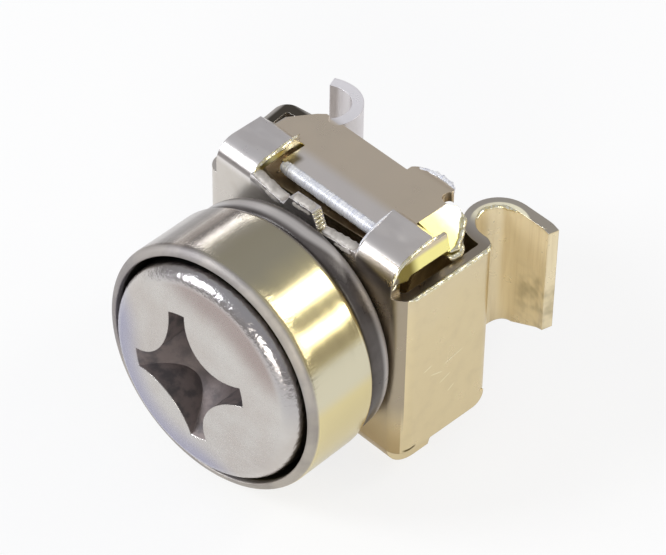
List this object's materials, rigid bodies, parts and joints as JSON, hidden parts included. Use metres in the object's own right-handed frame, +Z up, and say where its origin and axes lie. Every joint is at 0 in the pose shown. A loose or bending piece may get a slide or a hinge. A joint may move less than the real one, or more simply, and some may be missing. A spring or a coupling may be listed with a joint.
{
  "type": "rack cage nut",
  "caption": "Cage nut set: a folded spring-steel cage with two curled lugs holds a loose square nut, with a cross-recess pan screw, cup washer and backing ring.",
  "frame": {"origin": "middle of the square rail hole, in the plane of the lugs' seating faces", "axes": "+X across the two lugs to the right, +Y along the cage from the screw head to the rail, +Z up"},
  "size_m": [0.0157, 0.0172, 0.0141],
  "materials": {
    "spring_steel": "nickel-plated spring steel, satin with bright sheared edges",
    "nut_steel": "bright nickel-plated steel",
    "screw_steel": "nickel-plated steel, satin face, polished rim",
    "cup_steel": "nickel-plated steel, turned and glossy",
    "ring_polymer": "dark grey polymer with a soft sheen"
  },
  "bodies": {
    "root": {"cage": "spring_steel", "square_nut": "nut_steel", "screw": "screw_steel", "cup_washer": "cup_steel", "backing_ring": "ring_polymer"}
  },
  "joints": []
}
